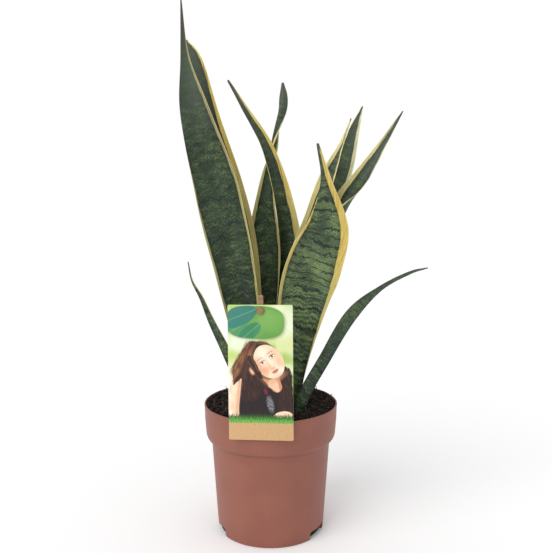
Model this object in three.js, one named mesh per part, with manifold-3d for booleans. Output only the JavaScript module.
// A variegated snake plant in a round nursery pot: ten stiff upright leaves on three
// rhizomes, planted in peat, with a picture label hung on a stake.
//
// Millimetres, +Z up. The origin is the middle of the pot's underside, on the surface that
// the pot stands on, and -Y is the side that the label faces.
import * as THREE from 'three';
import { mergeVertices } from 'three/addons/utils/BufferGeometryUtils.js';
import Module from 'manifold-3d';

// ---- Driving dimensions --------------------------------------------------------------

const GAP = 0.3; // clearance between pieces that touch

// Pot: a tapered body under a deep, nearly straight collar.
const POT_HEIGHT = 117;
const RIM_RADIUS = 60;
const COLLAR_FOOT_RADIUS = 58.6;
const COLLAR_HEIGHT = 32;
const COLLAR_ROUNDING = 3.7; // how far the collar's foot turns in
const COLLAR_TURN = 7; // and over what height
const BODY_TOP_RADIUS = 53.6;
const BASE_RADIUS = 48;
const WALL = 1.5;
const FLOOR = 2;
const BASE_CHAMFER = 1.5;
const LIP = { draft: 0.2, below: 3, edge: 1, inset: 0.5 }; // how the rim's outer edge is shaped
const POT_SIDES = 60;

// Drainage: notches where the wall meets the floor, and round holes through the floor.
const NOTCH_BEARINGS = [-72, 62, 180]; // degrees, 0 at the front and + towards +X
const NOTCH_WIDTH = 26;
const NOTCH_HEIGHT = 7.5;
const NOTCH_DEPTH = 9;
const NOTCH_OVERRUN = 2; // how far the tool that cuts a notch starts outside the base
const DRAIN_HOLES = 6;
const DRAIN_HOLE_RADIUS = 4;
const DRAIN_CIRCLE_RADIUS = 27;

// Peat: level with the rim and a little crowned.
const SOIL_EDGE_Z = 115;
const SOIL_CROWN_Z = 117.5;
const SOIL_CLEARANCE = 1.4 * GAP; // from the wall, whose facets cut in between their corners

// Underground: rhizomes just below the leaves, with a few roots each.
const RHIZOME_RADIUS = 4.5;
const ROOT_RADIUS = 1.4;
const ROOT_COUNT = 4;
const ROOT_DROP = 46;
const ROOT_SPREAD = 11;

// Leaves, common to all ten.
const LEAF_SIDES = 10;
const LEAF_STEPS = 22;
const LEAF_THICKNESS = { foot: 5, tip: 0.9 };
const LEAF_NARROWEST = 1;
const CHANNEL_REST = 0.35; // the share of a channel's depth that its middle lies below the spine

// Label: a card hung by a peg on a flat stake, its lower edge resting against the rim.
const CARD = { width: 53.9, height: 112.6, thickness: 0.7, corner: 1 };
const CARD_CENTRE = { x: -7.9, z: 158.6 };
const CARD_LEAN = THREE.MathUtils.degToRad(3.9);
const CARD_ROLL = THREE.MathUtils.degToRad(-0.9);
const CARD_YAW = THREE.MathUtils.degToRad(6.4); // its right side is nearer the front
const CARD_SLACK = 0.1; // on top of the gap, because the rim is round
const CARD_STAND_OFF = GAP + CARD.thickness / 2 + CARD_SLACK;
const PEG = { aside: 0.4, rise: 51.6, radius: 2.1, headRadius: 3.1, headThickness: 1.1 };
const PEG_HEAD_TAPER = 0.6;
const STAKE = { width: 4.4, thickness: 1.8, above: 12.5, below: 165, point: 14, standOff: 1.5 };
const STAKE_TIP_WIDTH = 1;
const STAKE_CORNER = 1;
const STAKE_LEAN = THREE.MathUtils.degToRad(7.3); // away from the card, towards its foot

// ---- Leaves: where each one runs, how wide it is and which way it faces ----------------
//
// spine: from the foot on the rhizome to the tip.
// widths: across the blade, at equal steps along the spine.
// turn: bearing of the upper face in degrees, 0 to the front and + towards +X.
// cup: how deep the channel is, as a share of the half width, at the foot and at the tip.

const LEAVES = {
  leaf_tall_front: {
    spine: [[-14, -6, 88], [-17, -8, 150], [-30, -12, 235], [-45, -12, 308], [-63, -8, 370],
      [-73, -2, 420], [-76, 2, 468]],
    widths: [15, 21, 35, 39, 27, 8, 1],
    turn: [0, 0, -5, -10, -10, 20, 50],
    cup: [0.5, 0.25],
  },
  leaf_tall_back: {
    spine: [[-12, 6, 88], [-18, 8, 170], [-26, 10, 251], [-40, 14, 310], [-58, 20, 368],
      [-68, 26, 419], [-75, 30, 440]],
    widths: [14, 23, 30, 32, 29, 17, 1],
    turn: [0, 0, 0, -5, -10, -10, -10],
    cup: [0.5, 0.3],
  },
  leaf_curled_tip: {
    spine: [[5, -1, 88], [13, -1, 180], [15, 1, 249], [8.5, 3, 301], [-3, 1, 344],
      [-24, -4, 380], [-36, -8, 400]],
    widths: [14, 21, 23, 18, 11, 5, 1],
    turn: [0, 12, 30, 30, 22, 20, 20],
    cup: [0.5, 0.3],
  },
  leaf_centre_back: {
    spine: [[0, 18, 88], [-3, 22, 170], [-6, 26, 250], [-4.5, 32, 310], [3.5, 38, 354],
      [11, 44, 388], [11, 48, 405]],
    widths: [14, 20, 29, 14, 7, 8, 1.4],
    turn: [0, 0, 0, 10, 75, 165, 180],
    cup: [0.5, 0.3],
  },
  leaf_broad_front: {
    spine: [[14, -19, 88], [18, -24, 153], [28, -30, 216], [37, -36, 247], [47, -40, 277],
      [46, -40, 314], [39, -34, 346]],
    widths: [12, 25, 43, 46, 36, 10, 1],
    turn: [0, 0, 0, 0, 0, 0, 0],
    cup: [0.4, 0.2],
  },
  leaf_right_inner: {
    spine: [[16, -11, 88], [20, -10, 170], [26, -8, 240], [38, -4, 285], [50, 2, 320],
      [62, 8, 347], [71, 14, 370]],
    widths: [13, 20, 23, 16, 13, 4, 1],
    turn: [0, 0, 0, 0, 0, 0, 0],
    cup: [0.5, 0.3],
  },
  leaf_right_outer: {
    spine: [[19, 12, 88], [22.5, 15, 168], [35.5, 19, 234], [52.5, 24, 285], [66.5, 30, 325],
      [75.5, 36, 359], [84, 41, 383]],
    widths: [13, 20, 24, 17, 16, 10, 1],
    turn: [0, 0, 0, 0, 0, 0, 0],
    cup: [0.5, 0.3],
  },
  leaf_right_lean: {
    spine: [[17, 3, 88], [25, 3, 171], [39, 6, 231], [58.5, 9, 282], [81.5, 13, 319.5],
      [101.5, 18, 351], [118, 22, 377]],
    widths: [13, 20, 24, 21, 14, 6.5, 1],
    turn: [-10, -30, -52, -66, -18, 0, 0],
    cup: [0.7, 0.5],
  },
  leaf_low_right: {
    spine: [[20, -28, 88], [26, -30, 127], [46, -32, 166], [68, -32, 203], [93, -30, 225],
      [118, -28, 238], [134, -26, 242]],
    widths: [8, 13, 13, 14, 6, 2.5, 1],
    turn: [30, 30, 30, 30, 30, 30, 30],
    cup: [0.6, 0.4],
  },
  leaf_low_left: {
    spine: [[-18, -17, 88], [-25, -20, 138], [-37, -24, 168], [-50, -27, 196], [-58, -30, 216],
      [-66, -32, 232], [-69, -34, 248]],
    widths: [10, 12, 10, 7, 4.5, 2, 1],
    turn: [-30, -30, -30, -30, -30, -30, -30],
    cup: [0.6, 0.4],
  },
};

// Which leaves stand on which rhizome, from the front of it to the back.
const RHIZOMES = {
  rhizome_left: ['leaf_low_left', 'leaf_tall_front', 'leaf_tall_back'],
  rhizome_centre: ['leaf_curled_tip', 'leaf_centre_back'],
  rhizome_right: ['leaf_low_right', 'leaf_broad_front', 'leaf_right_inner',
    'leaf_right_lean', 'leaf_right_outer'],
};

// ---- Materials -----------------------------------------------------------------------

const finish = (color, roughness) => new THREE.MeshStandardMaterial({ color, roughness, metalness: 0 });
const TERRACOTTA_PLASTIC = () => finish(0x9c6454, 0.45);
const PEAT = () => finish(0x2a1f1b, 0.95);
const LEAF_GREEN = () => finish(0x4b5f45, 0.42);
const RHIZOME_TAN = () => finish(0xb98a5a, 0.7);
const PRINTED_CARD = () => finish(0xcdd6a0, 0.4);
const BROWN_STAKE = () => finish(0x8a6a4c, 0.5);

// ---- Solids --------------------------------------------------------------------------

const wasm = await Module();
wasm.setup();

/** A closed geometry as a manifold solid. */
function toSolid(geometry) {
  const bare = geometry.index ? geometry.clone() : geometry;
  bare.deleteAttribute('normal');
  bare.deleteAttribute('uv');
  const merged = mergeVertices(bare);
  return new wasm.Manifold(new wasm.Mesh({
    numProp: 3,
    vertProperties: new Float32Array(merged.attributes.position.array),
    triVerts: new Uint32Array(merged.index.array),
  }));
}

/** A manifold solid as a geometry again. */
function toGeometry(solid) {
  const mesh = solid.getMesh();
  const geometry = new THREE.BufferGeometry();
  geometry.setAttribute('position', new THREE.BufferAttribute(new Float32Array(mesh.vertProperties), 3));
  geometry.setIndex(new THREE.BufferAttribute(new Uint32Array(mesh.triVerts), 1));
  geometry.computeVertexNormals();
  return geometry;
}

/** A box from its size and its middle. */
function boxAt(size, middle) {
  return new THREE.BoxGeometry(...size).translate(...middle);
}

/** A solid of revolution about the Z axis, from [radius, z] pairs. */
function turned(profile, sides) {
  const points = profile.map(([radius, z]) => new THREE.Vector2(radius, z));
  return new THREE.LatheGeometry(points, sides).rotateX(Math.PI / 2);
}

/** Points of a quarter ellipse about [radius, z], from below it to its outer side. */
function roundedEdge([radius, z], across, up, steps) {
  const quarter = Math.PI / 2;
  return Array.from({ length: steps + 1 }, (_, i) => {
    const angle = (quarter * i) / steps;
    return [radius + across * Math.sin(angle), z - up * Math.cos(angle)];
  });
}

// ---- Pot -----------------------------------------------------------------------------

const COLLAR_FOOT_Z = POT_HEIGHT - COLLAR_HEIGHT;

// The inside of the pot, as [radius, z] corners from the floor up to the rim.
const INSIDE = [
  [BASE_RADIUS - WALL, FLOOR],
  [BODY_TOP_RADIUS - WALL, COLLAR_FOOT_Z + WALL],
  [COLLAR_FOOT_RADIUS - WALL, COLLAR_FOOT_Z + COLLAR_TURN],
  [RIM_RADIUS - WALL, POT_HEIGHT],
];

/** The pot's inside radius at a height in its collar. */
function collarInside(z) {
  const [[low, lowZ], [high, highZ]] = INSIDE.slice(2);
  return THREE.MathUtils.mapLinear(z, lowZ, highZ, low, high);
}

/** A tool that cuts outwards from the axis at one bearing. */
function atBearing(geometry, bearing) {
  return geometry.rotateZ(THREE.MathUtils.degToRad(bearing));
}

function potGeometry() {
  const footCentre = [COLLAR_FOOT_RADIUS - COLLAR_ROUNDING, COLLAR_FOOT_Z + COLLAR_TURN];
  const profile = [
    [0, 0],
    [BASE_RADIUS - BASE_CHAMFER, 0],
    [BASE_RADIUS, BASE_CHAMFER],
    [BODY_TOP_RADIUS, COLLAR_FOOT_Z],
    ...roundedEdge(footCentre, COLLAR_ROUNDING, COLLAR_TURN, 5),
    [RIM_RADIUS - LIP.draft, POT_HEIGHT - LIP.below],
    [RIM_RADIUS, POT_HEIGHT - LIP.edge],
    [RIM_RADIUS - LIP.inset, POT_HEIGHT],
    ...INSIDE.toReversed(),
    [0, FLOOR],
  ];
  let pot = toSolid(turned(profile, POT_SIDES));
  for (const bearing of NOTCH_BEARINGS) {
    const notch = boxAt(
      [NOTCH_WIDTH, NOTCH_DEPTH, NOTCH_HEIGHT * 2],
      [0, NOTCH_DEPTH / 2 - BASE_RADIUS - NOTCH_OVERRUN, 0],
    );
    pot = pot.subtract(toSolid(atBearing(notch, bearing)));
  }
  for (let i = 0; i < DRAIN_HOLES; i += 1) {
    const hole = new THREE.CylinderGeometry(DRAIN_HOLE_RADIUS, DRAIN_HOLE_RADIUS, FLOOR * 4, 16);
    hole.rotateX(Math.PI / 2).translate(0, -DRAIN_CIRCLE_RADIUS, 0);
    pot = pot.subtract(toSolid(atBearing(hole, (360 * i) / DRAIN_HOLES)));
  }
  return toGeometry(pot);
}

// ---- Leaves --------------------------------------------------------------------------

/** A smooth run of single values over t from 0 to 1. */
function along(values, t) {
  const points = values.map((value) => new THREE.Vector3(value, 0, 0));
  return new THREE.CatmullRomCurve3(points, false, 'catmullrom').getPoint(t).x;
}

/** The blade's place, directions and size at t, from 0 at the foot to 1 at the tip. */
function station(leaf, t) {
  const points = leaf.spine.map((point) => new THREE.Vector3(...point));
  const curve = new THREE.CatmullRomCurve3(points, false, 'catmullrom');
  const bearing = THREE.MathUtils.degToRad(along(leaf.turn, t));
  const facing = new THREE.Vector3(Math.sin(bearing), -Math.cos(bearing), 0);
  const forward = curve.getTangent(t);
  const across = forward.clone().cross(facing).normalize();
  return {
    centre: curve.getPoint(t),
    forward,
    across,
    up: across.clone().cross(forward),
    half: Math.max(along(leaf.widths, t), LEAF_NARROWEST) / 2,
    thickness: THREE.MathUtils.lerp(LEAF_THICKNESS.foot, LEAF_THICKNESS.tip, Math.sqrt(t)),
    cup: THREE.MathUtils.lerp(leaf.cup[0], leaf.cup[1], t),
  };
}

/** One blade: a closed cylinder whose rings are drawn out into channelled sections. */
function leafGeometry(leaf, grow = 0) {
  const geometry = new THREE.CylinderGeometry(1, 1, 1, LEAF_SIDES, LEAF_STEPS);
  const position = geometry.attributes.position;
  for (let i = 0; i < position.count; i += 1) {
    const t = position.getY(i) + 0.5;
    const { centre, forward, across, up, half, thickness, cup } = station(leaf, t);
    const u = position.getX(i) * (1 + grow / half);
    const channel = half * cup * (u * u - CHANNEL_REST);
    const point = centre
      .addScaledVector(across, u * half)
      .addScaledVector(up, channel + position.getZ(i) * (thickness / 2 + grow))
      .addScaledVector(forward, t === 0 ? -2 * grow : 0);
    position.setXYZ(i, point.x, point.y, point.z);
  }
  return geometry;
}

// ---- Rhizomes and roots --------------------------------------------------------------

/** A rod with round ends between two points. */
function rod(from, to, radius, sides = 14) {
  const length = from.distanceTo(to);
  const geometry = new THREE.CapsuleGeometry(radius, length, 4, sides);
  const lift = new THREE.Quaternion().setFromUnitVectors(
    new THREE.Vector3(0, 1, 0),
    to.clone().sub(from).normalize(),
  );
  return geometry.applyQuaternion(lift).translate(...from.clone().lerp(to, 0.5).toArray());
}

/** A rhizome under its leaves' feet, with roots that spread and hang from it. */
function rhizomeSolid(leafNames, grow = 0) {
  const feet = leafNames.map((name) => new THREE.Vector3(...LEAVES[name].spine[0]));
  const drop = new THREE.Vector3(0, 0, -(RHIZOME_RADIUS + 2 * GAP));
  const front = feet[0].clone().add(drop);
  const back = feet[feet.length - 1].clone().add(drop);
  let solid = toSolid(rod(front, back, RHIZOME_RADIUS + grow));
  for (let i = 0; i < ROOT_COUNT; i += 1) {
    const share = (i + 0.5) / ROOT_COUNT;
    const start = front.clone().lerp(back, share);
    const bearing = Math.atan2(start.y, start.x) + 0.3 * (i - (ROOT_COUNT - 1) / 2);
    const end = new THREE.Vector3(Math.cos(bearing), Math.sin(bearing), 0)
      .multiplyScalar(ROOT_SPREAD)
      .add(start)
      .setZ(start.z - ROOT_DROP);
    solid = solid.add(toSolid(rod(start, end, ROOT_RADIUS + grow, 8)));
  }
  return solid;
}

// ---- Label ---------------------------------------------------------------------------

/** Takes what was made flat, x across the card and z up it from its middle, to its place. */
function hang() {
  const rest = -(RIM_RADIUS / Math.cos(CARD_YAW) + CARD_STAND_OFF);
  const aside = -CARD_CENTRE.x * Math.tan(CARD_YAW);
  const back = (CARD_CENTRE.z - POT_HEIGHT) * Math.tan(CARD_LEAN);
  return new THREE.Matrix4()
    .makeTranslation(CARD_CENTRE.x, rest + aside + back, CARD_CENTRE.z)
    .multiply(new THREE.Matrix4().makeRotationZ(-CARD_YAW))
    .multiply(new THREE.Matrix4().makeRotationX(-CARD_LEAN))
    .multiply(new THREE.Matrix4().makeRotationY(CARD_ROLL));
}

function cardGeometry() {
  const { width, height, thickness, corner } = CARD;
  const outline = new THREE.Shape();
  const [w, h] = [width / 2, height / 2];
  outline.moveTo(-w + corner, -h).lineTo(w - corner, -h);
  outline.absarc(w - corner, -h + corner, corner, -Math.PI / 2, 0);
  outline.absarc(w - corner, h - corner, corner, 0, Math.PI / 2);
  outline.absarc(-w + corner, h - corner, corner, Math.PI / 2, Math.PI);
  outline.absarc(-w + corner, -h + corner, corner, Math.PI, Math.PI * 1.5);
  const hole = new THREE.Path();
  hole.absarc(PEG.aside, PEG.rise, PEG.radius + GAP, 0, Math.PI * 2);
  outline.holes.push(hole);
  const sheet = new THREE.ExtrudeGeometry(outline, {
    depth: thickness,
    bevelEnabled: false,
    curveSegments: 8,
  });
  return sheet
    .translate(0, 0, -thickness / 2)
    .rotateX(Math.PI / 2)
    .applyMatrix4(hang());
}

/** The flat stake with its peg and the peg's head, in one piece. */
function stakeSolid(grow = 0) {
  const { width, thickness, above, below, point, standOff } = STAKE;
  const half = width / 2 + grow;
  const shoulder = point - below;
  const outline = new THREE.Shape();
  const [tip, corner] = [STAKE_TIP_WIDTH / 2, STAKE_CORNER];
  outline.moveTo(-tip, -below - grow).lineTo(tip, -below - grow);
  outline.lineTo(half, shoulder).lineTo(half, above - corner).lineTo(half - corner, above);
  outline.lineTo(corner - half, above).lineTo(-half, above - corner).lineTo(-half, shoulder);
  const blade = new THREE.ExtrudeGeometry(outline, { depth: thickness + 2 * grow, bevelEnabled: false });
  blade.rotateX(Math.PI / 2).translate(0, standOff + thickness + grow, 0).rotateX(STAKE_LEAN);
  const cardFront = -CARD.thickness / 2;
  const { radius, headRadius, headThickness } = PEG;
  const pegLength = standOff + thickness / 2 - cardFront + GAP + headThickness / 2;
  const peg = new THREE.CylinderGeometry(radius, radius, pegLength, 20);
  peg.translate(0, standOff + thickness / 2 - pegLength / 2, 0);
  const head = new THREE.CylinderGeometry(headRadius, headRadius - PEG_HEAD_TAPER, headThickness, 20);
  head.translate(0, cardFront - GAP - headThickness / 2, 0);
  const solid = toSolid(blade).add(toSolid(peg)).add(toSolid(head));
  return solid.translate([PEG.aside, 0, PEG.rise]).transform(hang().elements);
}

// ---- Soil ----------------------------------------------------------------------------

/** Peat that fills the pot, with a pocket around everything that is planted in it. */
function soilGeometry() {
  const inset = SOIL_CLEARANCE;
  const edgeRadius = collarInside(SOIL_EDGE_Z) - inset;
  const crown = Array.from({ length: 6 }, (_, i) => {
    const share = 1 - (i + 1) / 6;
    const rise = (SOIL_CROWN_Z - SOIL_EDGE_Z) * (1 - share * share);
    return [share * edgeRadius, SOIL_EDGE_Z + rise];
  });
  const [floorCorner, ...wallCorners] = INSIDE.slice(0, 3);
  const profile = [
    [0, FLOOR + GAP],
    [floorCorner[0] - inset, FLOOR + GAP],
    ...wallCorners.map(([radius, z]) => [radius - inset, z]),
    [edgeRadius, SOIL_EDGE_Z],
    ...crown,
  ];
  let soil = toSolid(turned(profile, POT_SIDES));
  for (const leaf of Object.values(LEAVES)) {
    soil = soil.subtract(toSolid(leafGeometry(leaf, GAP)));
  }
  for (const leafNames of Object.values(RHIZOMES)) {
    soil = soil.subtract(rhizomeSolid(leafNames, GAP));
  }
  return toGeometry(soil.subtract(stakeSolid(GAP)));
}

// ---- The object ----------------------------------------------------------------------

const group = new THREE.Group();

function addPart(name, geometry, material) {
  const mesh = new THREE.Mesh(geometry, material);
  mesh.name = name;
  group.add(mesh);
}

addPart('pot', potGeometry(), TERRACOTTA_PLASTIC());
addPart('soil', soilGeometry(), PEAT());
for (const [name, leafNames] of Object.entries(RHIZOMES)) {
  addPart(name, toGeometry(rhizomeSolid(leafNames)), RHIZOME_TAN());
}
for (const [name, leaf] of Object.entries(LEAVES)) {
  addPart(name, leafGeometry(leaf), LEAF_GREEN());
}
addPart('label_card', cardGeometry(), PRINTED_CARD());
addPart('label_stake', toGeometry(stakeSolid()), BROWN_STAKE());

export default group;
